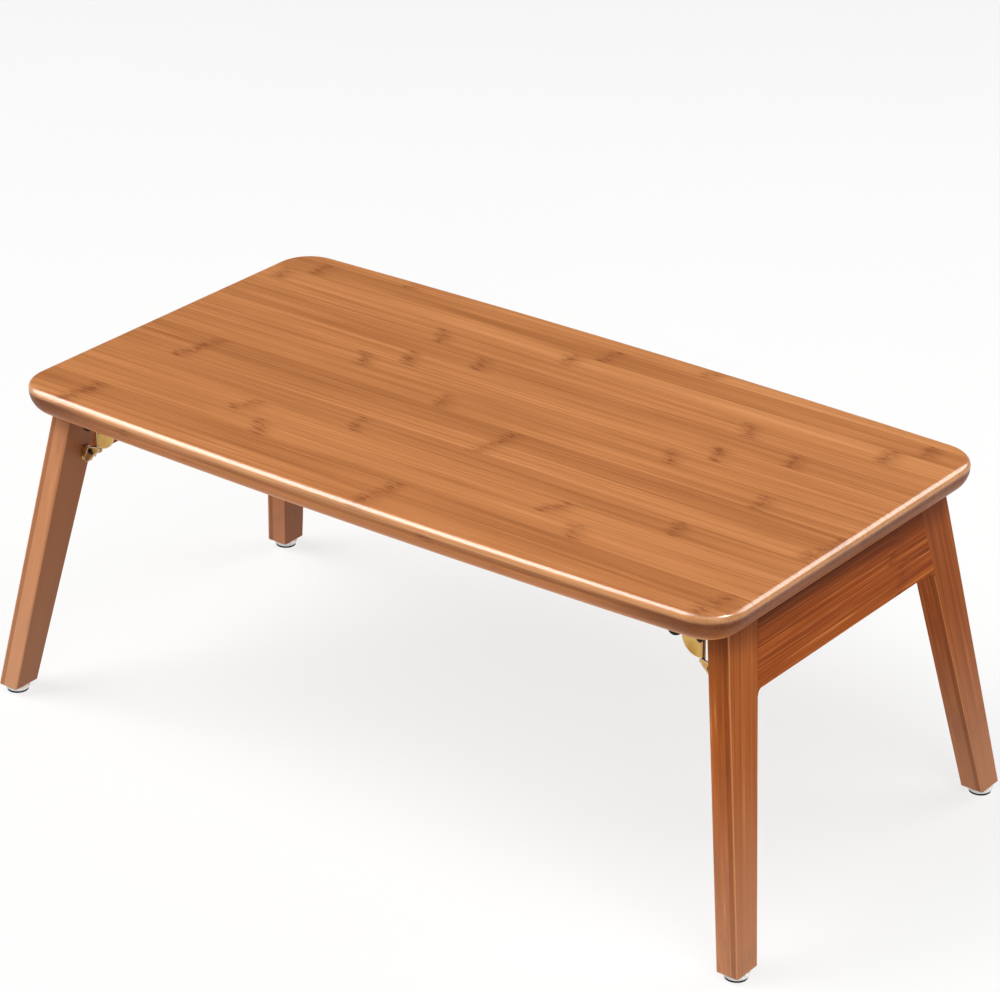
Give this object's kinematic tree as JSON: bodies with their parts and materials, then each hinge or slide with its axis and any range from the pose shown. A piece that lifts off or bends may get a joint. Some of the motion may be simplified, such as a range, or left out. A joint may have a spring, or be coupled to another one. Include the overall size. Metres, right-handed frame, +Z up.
{
  "type": "folding coffee table",
  "caption": "Low rectangular bamboo table with rounded edges on two splayed leg frames that fold flat under the top on locking brackets.",
  "frame": {"origin": "on the floor, midway between the four feet", "axes": "+X along the table's length, +Y across it towards the back, +Z up"},
  "size_m": [0.7598, 0.3852, 0.294],
  "materials": {
    "bamboo_top": "satin lacquer over warm carbonised bamboo strips",
    "bamboo_frame": "satin lacquer over edge-laminated bamboo",
    "beech": "plain, glued in",
    "yellow_zinc": "yellow passivated zinc on pressed steel",
    "dark_steel": "blackened",
    "spring_steel": "bright",
    "white_plastic": "translucent white, moulded",
    "black_rubber": "matt black"
  },
  "bodies": {
    "table_top": {"tabletop": "bamboo_top", "top_bracket_front_right": "yellow_zinc", "top_bracket_back_right": "yellow_zinc", "top_bracket_front_left": "yellow_zinc", "top_bracket_back_left": "yellow_zinc", "top_bracket_screws": "dark_steel", "pivot_rivets": "dark_steel", "rubber_buffers": "black_rubber"},
    "right_leg_frame": {"leg_front_right": "bamboo_frame", "leg_back_right": "bamboo_frame", "rail_right": "bamboo_frame", "rail_dowels_right": "beech", "leg_bracket_front_right": "yellow_zinc", "leg_bracket_back_right": "yellow_zinc", "leg_bracket_screws_right": "dark_steel", "pawl_rivets_right": "dark_steel", "lock_spring_front_right": "spring_steel", "lock_spring_back_right": "spring_steel", "glides_right": "white_plastic", "glide_soles_right": "black_rubber", "glide_screws_right": "spring_steel"},
    "left_leg_frame": {"leg_front_left": "bamboo_frame", "leg_back_left": "bamboo_frame", "rail_left": "bamboo_frame", "rail_dowels_left": "beech", "leg_bracket_front_left": "yellow_zinc", "leg_bracket_back_left": "yellow_zinc", "leg_bracket_screws_left": "dark_steel", "pawl_rivets_left": "dark_steel", "lock_spring_front_left": "spring_steel", "lock_spring_back_left": "spring_steel", "glides_left": "white_plastic", "glide_soles_left": "black_rubber", "glide_screws_left": "spring_steel"},
    "front_right_pawl": {"lock_pawl_front_right": "yellow_zinc"},
    "back_right_pawl": {"lock_pawl_back_right": "yellow_zinc"},
    "front_left_pawl": {"lock_pawl_front_left": "yellow_zinc"},
    "back_left_pawl": {"lock_pawl_back_left": "yellow_zinc"}
  },
  "joints": [
    {"name": "right_frame_fold", "type": "hinge", "parent": "table_top", "child": "right_leg_frame", "pos_m": [0.3005, 0, 0.2468], "axis": [0, 1, 0], "range_deg": [0, 99]},
    {"name": "left_frame_fold", "type": "hinge", "parent": "table_top", "child": "left_leg_frame", "pos_m": [-0.3005, 0, 0.2468], "axis": [0, -1, 0], "range_deg": [0, 99]},
    {"name": "front_right_pawl_lift", "type": "hinge", "parent": "right_leg_frame", "child": "front_right_pawl", "pos_m": [0.31077, -0.13725, 0.22501], "axis": [0, -1, 0], "range_deg": [0, 7]},
    {"name": "back_right_pawl_lift", "type": "hinge", "parent": "right_leg_frame", "child": "back_right_pawl", "pos_m": [0.31077, 0.13725, 0.22501], "axis": [0, -1, 0], "range_deg": [0, 7]},
    {"name": "front_left_pawl_lift", "type": "hinge", "parent": "left_leg_frame", "child": "front_left_pawl", "pos_m": [-0.31077, -0.13725, 0.22501], "axis": [0, 1, 0], "range_deg": [0, 7]},
    {"name": "back_left_pawl_lift", "type": "hinge", "parent": "left_leg_frame", "child": "back_left_pawl", "pos_m": [-0.31077, 0.13725, 0.22501], "axis": [0, 1, 0], "range_deg": [0, 7]}
  ],
  "couplings": [
    {"joint": "front_right_pawl_lift", "follows": "right_frame_fold", "ratio": 0.060606},
    {"joint": "back_right_pawl_lift", "follows": "right_frame_fold", "ratio": 0.060606},
    {"joint": "front_left_pawl_lift", "follows": "left_frame_fold", "ratio": 0.060606},
    {"joint": "back_left_pawl_lift", "follows": "left_frame_fold", "ratio": 0.060606}
  ]
}
